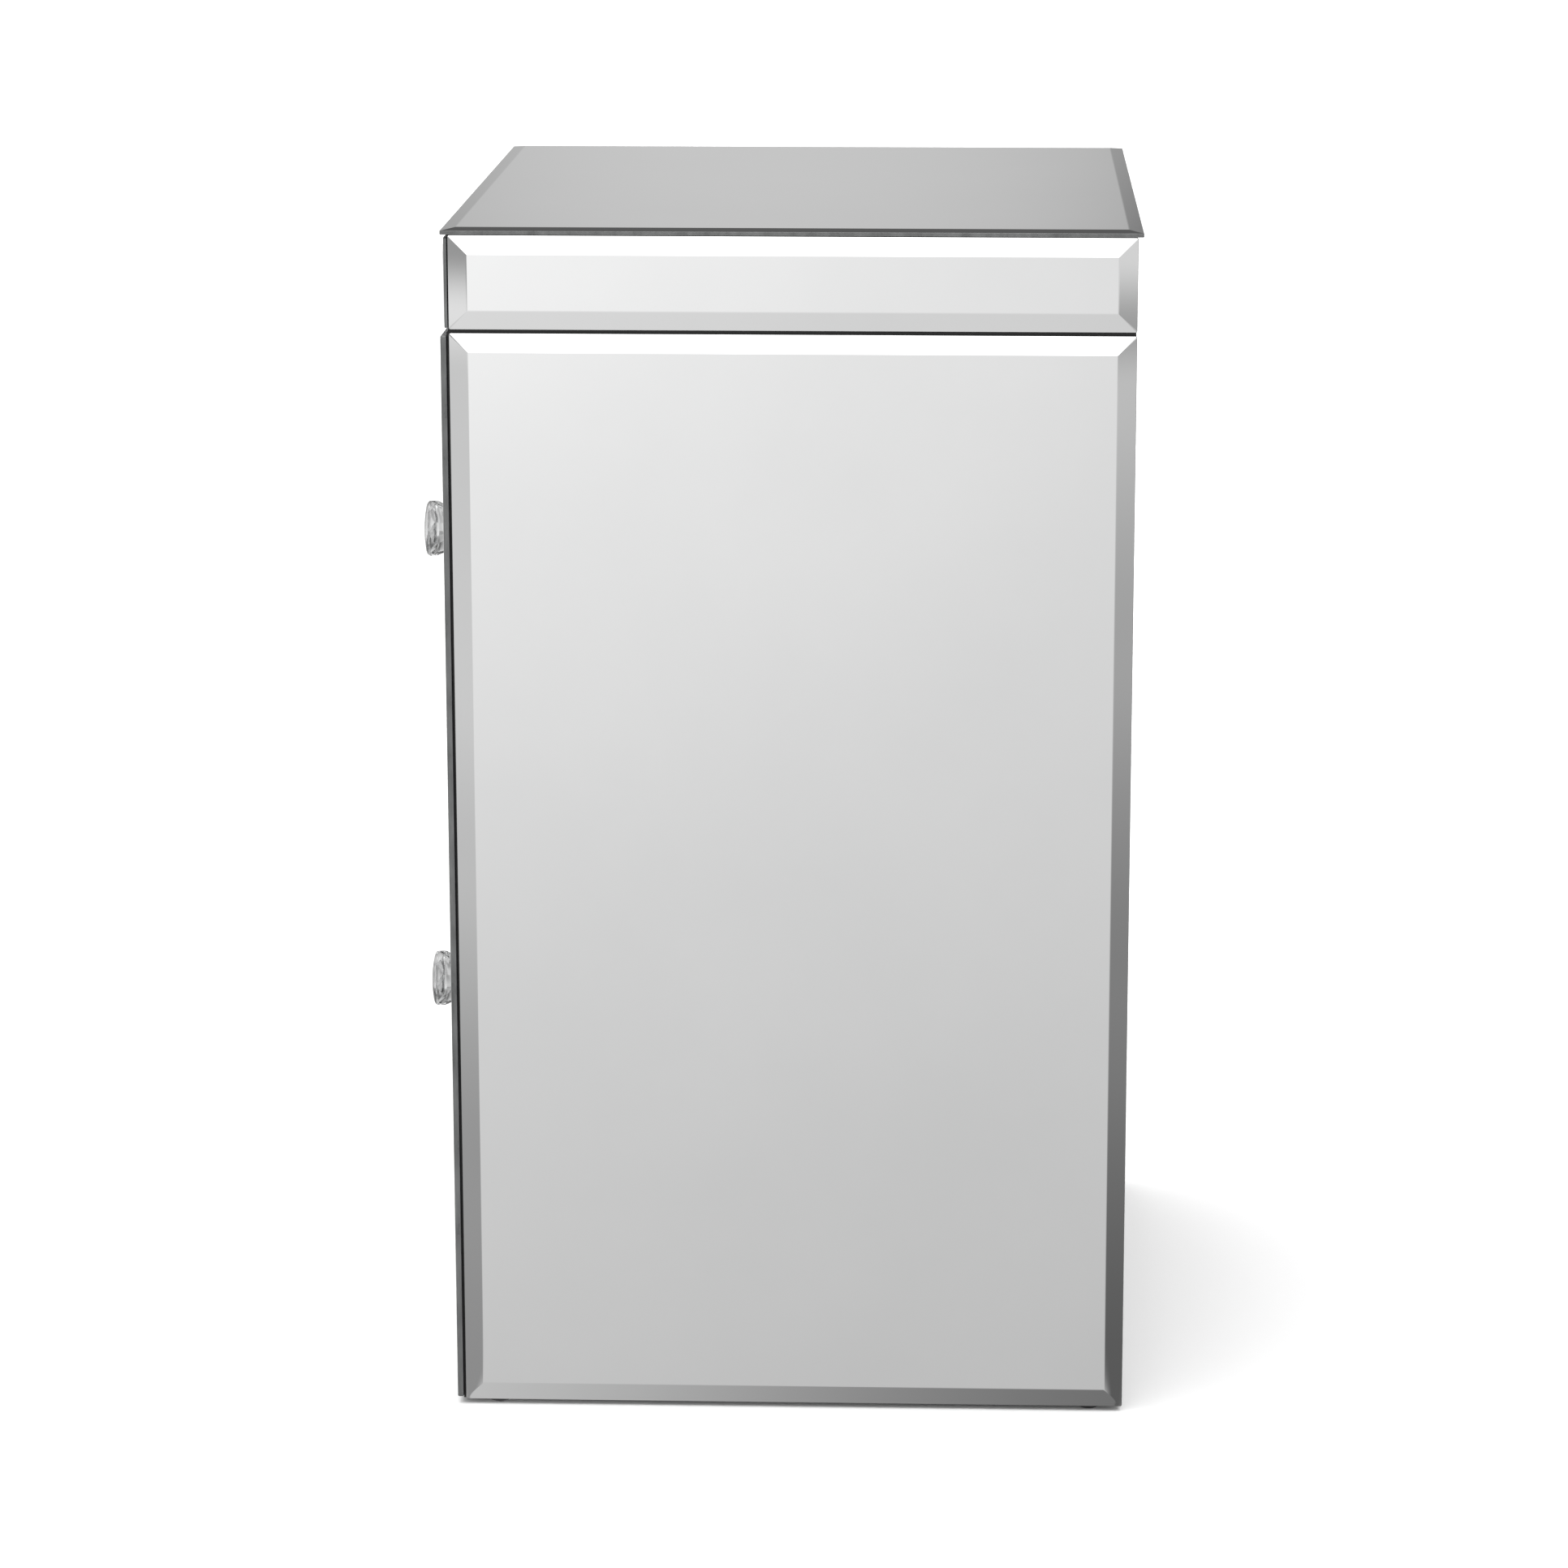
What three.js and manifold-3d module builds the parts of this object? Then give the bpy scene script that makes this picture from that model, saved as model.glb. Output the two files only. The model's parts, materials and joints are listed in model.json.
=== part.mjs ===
// A small mirrored armoire cabinet: bevelled mirror panes glued on a black board carcass, two deep
// drawers on three-member ball-bearing runners, and one faceted crystal knob on each drawer.
// Millimetres. +Z up, the drawer fronts face -Y, and the origin is on the floor under the middle
// of the bounding box. Every dimension is a multiple of 1/4 or 1/8 mm, which 32-bit numbers hold
// exactly, so pieces that are glued face to face share that face without overlapping.
import * as THREE from "three";
import { ConvexGeometry } from "three/addons/geometries/ConvexGeometry.js";
import { mergeVertices } from "three/addons/utils/BufferGeometryUtils.js";
import Module from "manifold-3d";

const wasm = await Module();
wasm.setup();

// ---------------------------------------------------------------- driving dimensions

const GLASS = 3.5; // thickness of every mirror pane
const BOARD = 15; // carcass boards and drawer fronts
const BOX_BOARD = 12; // drawer box boards
const GLIDE_H = 3; // the glides lift the carcass off the floor by this much

const TOP_W = 457; // top pane, left to right
const TOP_D = 404; // top pane, front to back
const TOP_Z = 715; // floor to the top surface
const TOP_BEVEL = { width: 8.5, drop: 1.25 };
const PANE_BEVEL = { width: 11, drop: 1.75 };
const TOP_OVERHANG = { side: 3, front: 4, back: 3 }; // top pane past the side panes

// Depths are measured back from the front edge of the side panes.
const SIDE_D = TOP_D - TOP_OVERHANG.front - TOP_OVERHANG.back;
const FACE_Y = -1.5; // front of the boards that carry the front panes
const APRON_Y = -0.5; // the same above the drawers, a step further back
const CARCASS_BACK = SIDE_D - 0.5;
const BACK_PANEL = { thick: 5, rebate: 7, recess: 6 };
const RAIL_D = 60; // front-to-back size of the two flat rails

// Heights are from the floor.
const SIDE_TOP = TOP_Z - GLASS - BOARD;
const SPLIT = { low: 654, high: 656 }; // the black reveal round the cabinet under its top band
const BAND_TOP = 710.75;
const STEP_Z = 654.5; // where the side panel's front edge steps back behind the apron pane
const FRAME_LOW = 4.5;
const FRAME_HIGH = 652.5; // the panes framing the drawers run from FRAME_LOW to here
const APRON_PANE = { low: 657, high: 709.5 };
const BOTTOM_TOP = 65.25; // upper face of the bottom panel
const DRAWER_H = 272;
const DRAWERS = [
  { name: "lower_drawer", low: 68.25 },
  { name: "upper_drawer", low: 361.75 },
];
const MIDDLE_RAIL = { low: 343.5, pane: [343.25, 358.75] };
const UPPER_RAIL = { low: 637, pane: [636.75, FRAME_HIGH] };

// Half widths, measured from the middle.
const SIDE_OUT = TOP_W / 2 - TOP_OVERHANG.side; // outer face of the side panes
const BOARD_OUT = SIDE_OUT - GLASS;
const BOARD_IN = BOARD_OUT - BOARD;
const FRAME_OUT = SIDE_OUT - 0.5; // outer edge of the front panes
const PANE_JOINT = 0.5; // hairline between two panes of the frame
const DRAWER_GAP = 3;

// Drawer box, measured up from the bottom edge of the drawer's front pane.
const BOX = { low: 12.75, high: 244.75, depth: 350 };
const BOTTOM = { thick: 4, up: 10.25, groove: 5, slack: 0.25 };

// Runner: its three members nest in the gap between the side panel and the drawer box.
const RUNNER = { gap: 12.75, sheet: 1.25, up: 76.75, front: 16, length: 350 };
const OUTER = { half: 22.5, reach: 11, lip: 2.5 };
const MIDDLE = { half: 17.75, from: 2.5, to: 10.5, shorter: 4 };
const INNER = { half: 12.5, reach: 7.75, shorter: 2.5 };
const BOX_OUT = BOARD_IN - RUNNER.gap;
const BOX_IN = BOX_OUT - BOX_BOARD;
const RUNNER_HOLES = [32, 160, 288]; // screw holes, back from the runner's front end
const RUNNER_HOLE_R = 2.25;

// Knob, measured forward from the face of the drawer pane.
const KNOB = { r: 17.5, length: 36.5, base: 12, facets: 8 };
const SCREW = { r: 2, head_r: 4.25, head: 2.5, grip: 8.5, clearance: 0.25 };
const GLIDE = { r: 7, foot_r: 5.5, inset: 20 };

const FRONT_FACE = FACE_Y - GLASS;
const SHIFT_Y = -(FRONT_FACE - KNOB.length + SIDE_D + TOP_OVERHANG.back) / 2;

// ---------------------------------------------------------------- materials

const finish = (color, roughness, metalness) => ({ color, roughness, metalness });
const FINISH = {
  mirror: finish(0xd6d9db, 0.04, 1),
  lacquer: finish(0x0c0c0d, 0.45, 0),
  box: finish(0x2b2b2d, 0.6, 0),
  lining: finish(0x47484c, 0.95, 0),
  zinc: finish(0xb4b8bb, 0.35, 1),
  crystal: finish(0xe8eced, 0.03, 0),
  chrome: finish(0xcfd2d4, 0.1, 1),
  glide: finish(0x1a1a1b, 0.6, 0),
};

const armoire = new THREE.Group();
armoire.name = "armoire";
armoire.position.y = SHIFT_Y;

function add(name, geometry, look) {
  const mesh = new THREE.Mesh(geometry, new THREE.MeshStandardMaterial(FINISH[look]));
  mesh.name = name;
  armoire.add(mesh);
}

// ---------------------------------------------------------------- shapes

function box([x0, x1], [y0, y1], [z0, z1]) {
  const geometry = new THREE.BoxGeometry(x1 - x0, y1 - y0, z1 - z0);
  return geometry.translate((x0 + x1) / 2, (y0 + y1) / 2, (z0 + z1) / 2);
}

function toSolid(geometry) {
  const bare = geometry.clone();
  bare.deleteAttribute("normal");
  bare.deleteAttribute("uv");
  const merged = mergeVertices(bare);
  return new wasm.Manifold(
    new wasm.Mesh({
      numProp: 3,
      vertProperties: merged.attributes.position.array,
      triVerts: new Uint32Array(merged.index.array),
    }),
  );
}

function toGeometry(solid) {
  const mesh = solid.getMesh();
  const geometry = new THREE.BufferGeometry();
  geometry.setAttribute("position", new THREE.BufferAttribute(mesh.vertProperties, 3));
  geometry.setIndex(new THREE.BufferAttribute(mesh.triVerts, 1));
  geometry.computeVertexNormals();
  return geometry;
}

function cut(geometry, ...tools) {
  return toGeometry(tools.reduce((left, tool) => left.subtract(toSolid(tool)), toSolid(geometry)));
}

// A round hole along Y through everything between y0 and y1.
function boreY(r, x, z, y0, y1) {
  return new THREE.CylinderGeometry(r, r, y1 - y0, 24).translate(x, (y0 + y1) / 2, z);
}

// The same along X.
function boreX(r, y, z, x0, x1) {
  const turned = new THREE.CylinderGeometry(r, r, x1 - x0, 16).rotateZ(Math.PI / 2);
  return turned.translate((x0 + x1) / 2, y, z);
}

// A mirror pane: a flat slab whose edges are ground down in a wide shallow bevel. a and b are its
// two spans, back is the plane it is glued to, and point(a, b, out) places a corner of it.
function bevelledPane([a0, a1], [b0, b1], bevel, point) {
  const corners = [];
  const ring = (inset, out) => {
    for (const a of [a0 + inset, a1 - inset]) {
      for (const b of [b0 + inset, b1 - inset]) corners.push(point(a, b, out));
    }
  };
  ring(0, 0);
  ring(0, GLASS - bevel.drop);
  ring(bevel.width, GLASS);
  return new ConvexGeometry(corners);
}

function sidePane(side, y, z) {
  return bevelledPane(y, z, PANE_BEVEL, (a, b, out) => new THREE.Vector3(side * (BOARD_OUT + out), a, b));
}

function frontPane(x, z, back) {
  return bevelledPane(x, z, PANE_BEVEL, (a, b, out) => new THREE.Vector3(a, back - out, b));
}

// A body turned round a front-to-back axis through x = 0 and the given height. The profile is a
// list of [radius, y], running towards -Y.
function turned(profile, z, segments) {
  const points = profile.map(([r, y]) => new THREE.Vector2(r, -y));
  return new THREE.LatheGeometry(points, segments).rotateX(Math.PI).translate(0, 0, z);
}

// A rolled sheet section in the XZ plane, run from y0 back to y1.
function channel(section, y0, y1) {
  const shape = new THREE.Shape(section.map(([x, z]) => new THREE.Vector2(x, z)));
  const run = new THREE.ExtrudeGeometry(shape, { depth: y1 - y0, bevelEnabled: false });
  const alongY = new THREE.Matrix4().makeBasis(
    new THREE.Vector3(1, 0, 0),
    new THREE.Vector3(0, 0, 1),
    new THREE.Vector3(0, -1, 0),
  );
  return run.applyMatrix4(alongY).translate(0, y1, 0);
}

// ---------------------------------------------------------------- carcass

function carcass() {
  const inside = [-BOARD_IN, BOARD_IN];
  const rebateFront = CARCASS_BACK - BACK_PANEL.recess;
  for (const [hand, side] of [["right", 1], ["left", -1]]) {
    const across = (from, to) => (side > 0 ? [from, to] : [-to, -from]);
    const step = box(across(BOARD_IN - 1, BOARD_OUT + 1), [FACE_Y - 1, APRON_Y], [STEP_Z, TOP_Z]);
    const rebate = box(
      across(BOARD_IN - 1, BOARD_IN + BACK_PANEL.rebate),
      [rebateFront, CARCASS_BACK + 1],
      [0, TOP_Z],
    );
    const board = box(across(BOARD_IN, BOARD_OUT), [FACE_Y, CARCASS_BACK], [GLIDE_H, SIDE_TOP]);
    add(`side_panel_${hand}`, cut(board, step, rebate), "lacquer");
  }
  const underTop = [SIDE_TOP, SIDE_TOP + BOARD];
  add("top_panel", box([-BOARD_OUT, BOARD_OUT], [APRON_Y, CARCASS_BACK], underTop), "lacquer");
  const floor = [BOTTOM_TOP - BOARD, BOTTOM_TOP];
  add("bottom_panel", box(inside, [FACE_Y, rebateFront], floor), "lacquer");
  const half = BOARD_IN + BACK_PANEL.rebate - 0.5;
  const backY = [rebateFront, rebateFront + BACK_PANEL.thick];
  add("back_panel", box([-half, half], backY, [GLIDE_H + 5, SIDE_TOP - 0.5]), "lacquer");
  add("plinth_rail", box(inside, [FACE_Y, FACE_Y + BOARD], [FRAME_LOW, floor[0]]), "lacquer");
  for (const [name, rail] of [["middle_rail", MIDDLE_RAIL], ["upper_rail", UPPER_RAIL]]) {
    add(name, box(inside, [FACE_Y, FACE_Y + RAIL_D], [rail.low, rail.low + BOARD]), "lacquer");
  }
  const apron = [UPPER_RAIL.low + BOARD, SIDE_TOP];
  add("apron_rail", box(inside, [APRON_Y, APRON_Y + BOARD], apron), "lacquer");
}

function panes() {
  const top = [TOP_Z - GLASS, TOP_Z];
  const topPoint = (a, b, out) => new THREE.Vector3(a, b, top[0] + out);
  const topSpan = [-TOP_OVERHANG.front, SIDE_D + TOP_OVERHANG.back];
  const topPane = bevelledPane([-TOP_W / 2, TOP_W / 2], topSpan, TOP_BEVEL, topPoint);
  add("top_mirror", topPane, "mirror");
  for (const [hand, side] of [["right", 1], ["left", -1]]) {
    const upper = sidePane(side, [0, SIDE_D], [SPLIT.high, BAND_TOP]);
    add(`upper_side_mirror_${hand}`, upper, "mirror");
    add(`lower_side_mirror_${hand}`, sidePane(side, [0, SIDE_D], [GLIDE_H, SPLIT.low]), "mirror");
    const stile = side > 0 ? [BOARD_IN, FRAME_OUT] : [-FRAME_OUT, -BOARD_IN];
    const face = [FRONT_FACE, FACE_Y];
    add(`stile_mirror_${hand}`, box(stile, face, [FRAME_LOW, FRAME_HIGH]), "mirror");
  }
  const apron = frontPane([-FRAME_OUT, FRAME_OUT], [APRON_PANE.low, APRON_PANE.high], APRON_Y);
  add("apron_mirror", apron, "mirror");
  const between = [PANE_JOINT - BOARD_IN, BOARD_IN - PANE_JOINT];
  add("plinth_mirror", frontPane(between, [FRAME_LOW, BOTTOM_TOP], FACE_Y), "mirror");
  add("middle_rail_mirror", box(between, [FRONT_FACE, FACE_Y], MIDDLE_RAIL.pane), "mirror");
  add("upper_rail_mirror", box(between, [FRONT_FACE, FACE_Y], UPPER_RAIL.pane), "mirror");
}

function glides() {
  const x = BOARD_IN + BOARD / 2;
  for (const [end, y] of [["front", GLIDE.inset], ["back", SIDE_D - GLIDE.inset]]) {
    for (const [hand, side] of [["right", 1], ["left", -1]]) {
      const profile = [[0, 0], [GLIDE.foot_r, 0], [GLIDE.r, 1], [GLIDE.r, GLIDE_H], [0, GLIDE_H]];
      const points = profile.map(([r, z]) => new THREE.Vector2(r, z));
      const foot = new THREE.LatheGeometry(points, 24).rotateX(Math.PI / 2);
      add(`glide_${end}_${hand}`, foot.translate(side * x, y, 0), "glide");
    }
  }
}

// ---------------------------------------------------------------- runners

// Sections of the three members: u is the distance from the side panel's face, v is up.
function outerSection() {
  const { half, reach, lip } = OUTER;
  const s = RUNNER.sheet;
  return [
    [0, -half], [reach, -half], [reach, lip - half], [reach - s, lip - half],
    [reach - s, s - half], [s, s - half], [s, half - s], [reach - s, half - s],
    [reach - s, half - lip], [reach, half - lip], [reach, half], [0, half],
  ];
}

function middleSection() {
  const { half, from, to } = MIDDLE;
  const s = RUNNER.sheet;
  return [
    [from, -half], [to, -half], [to, s - half], [from + s, s - half],
    [from + s, half - s], [to, half - s], [to, half], [from, half],
  ];
}

function innerSection() {
  const { half, reach } = INNER;
  const s = RUNNER.sheet;
  const face = RUNNER.gap;
  return [
    [face, -half], [face, half], [face - reach, half], [face - reach, half - s],
    [face - s, half - s], [face - s, s - half], [face - reach, s - half], [face - reach, -half],
  ];
}

function runner(drawer, hand, side) {
  const z = drawer.low + RUNNER.up;
  const place = (section) => section.map(([u, v]) => [side * (BOARD_IN - u), z + v]);
  const front = RUNNER.front;
  const back = front + RUNNER.length;
  const holes = RUNNER_HOLES.map((at) => {
    const ends = [side * (BOARD_IN + 1), side * (BOX_OUT - 1)].sort((p, q) => p - q);
    return boreX(RUNNER_HOLE_R, front + at, z, ...ends);
  });
  const members = {
    outer: channel(place(outerSection()), front, back),
    middle: channel(place(middleSection()), front + MIDDLE.shorter, back - MIDDLE.shorter),
    inner: channel(place(innerSection()), front, back - INNER.shorter),
  };
  for (const [member, geometry] of Object.entries(members)) {
    const drilled = member === "middle" ? geometry : cut(geometry, ...holes);
    add(`${drawer.name}_runner_${member}_${hand}`, drilled, "zinc");
  }
}

// ---------------------------------------------------------------- drawers

function drawerFront(drawer, knobZ) {
  const half = BOARD_IN - DRAWER_GAP;
  const high = drawer.low + DRAWER_H;
  const r = SCREW.r + SCREW.clearance;
  const pane = frontPane([-half, half], [drawer.low, high], FACE_Y);
  const drill = boreY(r, 0, knobZ, FRONT_FACE - 1, RUNNER.front);
  add(`${drawer.name}_mirror`, cut(pane, drill), "mirror");
  const board = box(
    [0.5 - half, half - 0.5],
    [FACE_Y, FACE_Y + BOARD],
    [drawer.low + 0.5, high - 0.5],
  );
  add(`${drawer.name}_front`, cut(board, drill), "lacquer");
}

function drawerBox(drawer, knobZ) {
  const front = FACE_Y + BOARD;
  const back = front + BOX.depth;
  const z = [drawer.low + BOX.low, drawer.low + BOX.high];
  const within = [-BOX_IN, BOX_IN];
  const { up, thick, groove, slack } = BOTTOM;
  const bottomZ = [z[0] + up, z[0] + up + thick];
  const reach = groove - slack; // how far the bottom goes into each board
  const slot = box(
    [-BOX_IN - groove, BOX_IN + groove],
    [front + BOX_BOARD - groove, back - BOX_BOARD + groove],
    [bottomZ[0] - slack, bottomZ[1] + slack],
  );
  for (const [hand, x] of [["right", [BOX_IN, BOX_OUT]], ["left", [-BOX_OUT, -BOX_IN]]]) {
    add(`${drawer.name}_side_${hand}`, cut(box(x, [front, back], z), slot), "box");
  }
  const bore = boreY(SCREW.r + SCREW.clearance, 0, knobZ, front - 1, front + BOX_BOARD + 1);
  const inner = box(within, [front, front + BOX_BOARD], z);
  add(`${drawer.name}_inner_front`, cut(inner, slot, bore), "box");
  add(`${drawer.name}_back`, cut(box(within, [back - BOX_BOARD, back], z), slot), "box");
  const bottom = box(
    [-BOX_IN - reach, BOX_IN + reach],
    [front + BOX_BOARD - reach, back - BOX_BOARD + reach],
    bottomZ,
  );
  add(`${drawer.name}_bottom`, bottom, "lining");
}

// ---------------------------------------------------------------- knobs

// The crystal is a round body with a shallow domed face and a rounded rim. Behind the rim it is cut
// by two tiers of flat facets that taper to the metal base.
function crystal(z) {
  const tip = FRONT_FACE - KNOB.length;
  const back = FRONT_FACE - KNOB.base;
  const rim = { r: 15, sag: 1.625, round: 2.5 };
  const domeR = (rim.r ** 2 + rim.sag ** 2) / (2 * rim.sag);
  const steps = 6;
  const profile = [[0, back], [KNOB.r, back]];
  for (let i = 0; i <= steps; i += 1) {
    const angle = (i / steps) * (Math.PI / 2);
    const y = tip + rim.sag + rim.round * (1 - Math.sin(angle));
    profile.push([rim.r + rim.round * Math.cos(angle), y]);
  }
  for (let i = steps - 1; i >= 1; i -= 1) {
    const r = (rim.r * i) / steps;
    profile.push([r, tip + domeR - Math.sqrt(domeR ** 2 - r ** 2)]);
  }
  profile.push([0, tip]);
  const body = toSolid(turned(profile, z, 48));

  const apothem = [[rim.sag + rim.round, KNOB.r], [14, 13.875], [KNOB.length - KNOB.base, 8]];
  const rings = [[0, apothem[0][1] + 2], ...apothem];
  const corners = rings.flatMap(([depth, flat]) => {
    const r = flat / Math.cos(Math.PI / KNOB.facets);
    return Array.from({ length: KNOB.facets }, (_, i) => {
      const angle = ((i + 0.5) * 2 * Math.PI) / KNOB.facets;
      return new THREE.Vector3(r * Math.cos(angle), tip + depth, z + r * Math.sin(angle));
    });
  });
  const faceted = body.intersect(toSolid(new ConvexGeometry(corners)));
  const socket = boreY(SCREW.r + SCREW.clearance, 0, z, back - SCREW.grip - 0.5, back + 1);
  return toGeometry(faceted.subtract(toSolid(socket)));
}

function knob(drawer, z) {
  const face = FRONT_FACE;
  const hole = SCREW.r + SCREW.clearance;
  const base = [
    [hole, face], [10, face], [10, face - 1], [9.25, face - 1.75], [6.75, face - 2.5],
    [6, face - 5], [6.25, face - 8], [8, face - 11], [8, face - 12], [hole, face - 12],
    [hole, face],
  ];
  add(`${drawer.name}_knob_base`, turned(base, z, 36), "chrome");
  add(`${drawer.name}_knob_crystal`, crystal(z), "crystal");
  const inside = FACE_Y + BOARD + BOX_BOARD;
  const end = face - KNOB.base - SCREW.grip;
  const { r, head, head_r: headR } = SCREW;
  const profile = [
    [0, inside + head], [headR - 1.5, inside + head], [headR, inside + head - 1.25],
    [headR, inside], [r, inside], [r, end], [0, end],
  ];
  add(`${drawer.name}_knob_screw`, turned(profile, z, 24), "zinc");
}

// ---------------------------------------------------------------- assembly

carcass();
panes();
glides();
for (const drawer of DRAWERS) {
  const knobZ = drawer.low + DRAWER_H / 2;
  for (const [hand, side] of [["right", 1], ["left", -1]]) runner(drawer, hand, side);
  drawerFront(drawer, knobZ);
  drawerBox(drawer, knobZ);
  knob(drawer, knobZ);
}

export default armoire;
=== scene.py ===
"""Looks for the mirrored armoire cabinet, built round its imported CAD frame.

The mirror panes, knobs and glides are new pieces in the places of their CAD nodes. The boards, drawer
boxes and runners are the CAD nodes themselves, with softened edges and their own materials. Small parts
that only the looks need, such as the runners' balls and screws, are added to the bodies they move with.
"""

import json
import math
from functools import partial

import bmesh
import bpy
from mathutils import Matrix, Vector

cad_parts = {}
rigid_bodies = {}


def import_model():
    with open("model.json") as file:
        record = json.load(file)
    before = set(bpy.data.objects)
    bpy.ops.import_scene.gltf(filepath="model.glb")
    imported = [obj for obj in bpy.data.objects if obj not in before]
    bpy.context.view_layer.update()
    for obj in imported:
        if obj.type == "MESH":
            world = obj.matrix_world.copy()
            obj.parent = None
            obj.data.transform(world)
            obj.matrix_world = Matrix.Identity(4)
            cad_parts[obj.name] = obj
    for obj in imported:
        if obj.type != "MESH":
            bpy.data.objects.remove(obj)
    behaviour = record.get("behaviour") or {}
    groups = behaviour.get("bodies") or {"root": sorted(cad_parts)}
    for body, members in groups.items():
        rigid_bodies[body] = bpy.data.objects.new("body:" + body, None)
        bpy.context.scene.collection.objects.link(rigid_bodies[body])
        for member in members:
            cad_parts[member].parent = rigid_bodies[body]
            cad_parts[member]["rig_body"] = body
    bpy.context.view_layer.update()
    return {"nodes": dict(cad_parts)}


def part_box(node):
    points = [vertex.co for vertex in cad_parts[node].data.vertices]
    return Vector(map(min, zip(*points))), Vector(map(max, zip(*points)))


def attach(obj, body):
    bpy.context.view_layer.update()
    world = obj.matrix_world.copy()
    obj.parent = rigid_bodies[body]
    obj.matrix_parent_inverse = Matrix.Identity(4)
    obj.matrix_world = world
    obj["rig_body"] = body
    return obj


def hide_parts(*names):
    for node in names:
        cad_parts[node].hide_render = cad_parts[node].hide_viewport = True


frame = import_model()

MM = 0.001
DRAWERS = ("lower", "upper")
HANDS = {"right": 1, "left": -1}  # the sign of x on each side of the cabinet

# ---------------------------------------------------------------- camera

CAMERA_OUT = 2.790  # from the face of the right side panes
CAMERA_BEHIND = 0.306  # from the front edge of those panes
CAMERA_UP = 1.059  # from the floor
PITCH = math.radians(12.68)
YAW = math.radians(-1.95)

side_low, side_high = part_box("lower_side_mirror_right")
camera = bpy.data.objects.new("camera", bpy.data.cameras.new("camera"))
bpy.context.scene.collection.objects.link(camera)
bpy.context.scene.camera = camera
look = Vector((-math.cos(YAW) * math.cos(PITCH), math.sin(YAW) * math.cos(PITCH), -math.sin(PITCH)))
camera.location = (side_high.x + CAMERA_OUT, side_low.y + CAMERA_BEHIND, CAMERA_UP)
camera.rotation_mode = "QUATERNION"
camera.rotation_quaternion = look.to_track_quat("-Z", "Y")
camera.data.sensor_width = 36
camera.data.lens = 112.2
# The shifts only place the cabinet in the frame.
camera.data.shift_x = -0.019
camera.data.shift_y = -0.045
camera.data.clip_end = 200
bpy.context.scene.view_settings.view_transform = "Standard"


# ---------------------------------------------------------------- node helpers


class Graph:
    """A node tree with short calls for what the materials share."""

    def __init__(self, tree):
        self.tree = tree

    def node(self, kind, values=(), **settings):
        made = self.tree.nodes.new(kind)
        for key, value in settings.items():
            setattr(made, key, value)
        for key, value in dict(values).items():
            self.put(made.inputs[key], value)
        return made

    def put(self, socket, value):
        if isinstance(value, bpy.types.NodeSocket):
            self.tree.links.new(value, socket)
        else:
            socket.default_value = value

    def math(self, operation, *values):
        return self.node("ShaderNodeMath", enumerate(values), operation=operation).outputs[0]

    def place(self, stretch=(1, 1, 1)):
        coordinates = self.node("ShaderNodeTexCoord").outputs["Object"]
        values = {"Vector": coordinates, "Scale": stretch}
        return self.node("ShaderNodeMapping", values).outputs[0]

    def noise(self, scale, detail=3.0, stretch=(1, 1, 1), roughness=0.5):
        values = {"Vector": self.place(stretch), "Scale": scale, "Detail": detail, "Roughness": roughness}
        return self.node("ShaderNodeTexNoise", values).outputs["Fac"]

    def cells(self, scale, stretch=(1, 1, 1)):
        values = {"Vector": self.place(stretch), "Scale": scale}
        return self.node("ShaderNodeTexVoronoi", values).outputs["Color"]

    def between(self, value, low, high, start=0.3, end=0.7):
        """Goes smoothly from low to high while the value goes from start to end."""
        values = {"Value": value, "From Min": start, "From Max": end, "To Min": low, "To Max": high}
        return self.node("ShaderNodeMapRange", values, interpolation_type="SMOOTHSTEP").outputs[0]

    def tint(self, value, dark, light, start=0.3, end=0.7):
        """Goes from the dark to the light colour while the value goes from start to end."""
        ramp = self.node("ShaderNodeValToRGB", {"Fac": value})
        for stop, at, colour in zip(ramp.color_ramp.elements, (start, end), (dark, light)):
            stop.position = at
            stop.color = (*colour, 1)
        return ramp.outputs[0]

    def bump(self, height, distance):
        return self.node("ShaderNodeBump", {"Height": height, "Distance": distance}).outputs[0]

    def curve(self, value, levels, top=3.0, interpolation="EASE"):
        """A curve through (position, level) pairs, as a grey ramp that reaches up to top."""
        ramp = self.node("ShaderNodeValToRGB", {"Fac": value})
        ramp.color_ramp.interpolation = interpolation
        stops = ramp.color_ramp.elements
        while len(stops) < len(levels):
            stops.new(0.99)
        for stop, (at, level) in zip(stops, levels):
            stop.position = at
            stop.color = (level / top, level / top, level / top, 1)
        return self.math("MULTIPLY", ramp.outputs[0], top)


def material(name, build, **uniform):
    """A principled material. build gives the inputs that vary, and uniform the ones that don't."""
    made = bpy.data.materials.new(name)
    made.use_nodes = True
    shader = made.node_tree.nodes["Principled BSDF"]
    for key, value in uniform.items():
        shader.inputs[key.replace("_", " ")].default_value = value
    graph = Graph(made.node_tree)
    for key, value in build(graph).items():
        graph.put(shader.inputs[key], value)
    return made


# ---------------------------------------------------------------- materials


def mirror_nodes(g):
    haze = g.noise(5, 5, roughness=0.6)
    waves = g.noise(9, 1)
    return {
        "Base Color": g.tint(haze, (0.74, 0.742, 0.742), (0.77, 0.771, 0.771)),
        "Roughness": g.between(haze, 0.01, 0.03),
        "Normal": g.bump(waves, 0.00004),
    }


def glass_edge_nodes(g):
    grind = g.noise(160, 4, stretch=(1, 1, 0.25))
    return {
        "Base Color": g.tint(grind, (0.064, 0.066, 0.066), (0.115, 0.118, 0.118)),
        "Roughness": g.between(grind, 0.26, 0.4),
        "Normal": g.bump(grind, 0.00004),
    }


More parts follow.
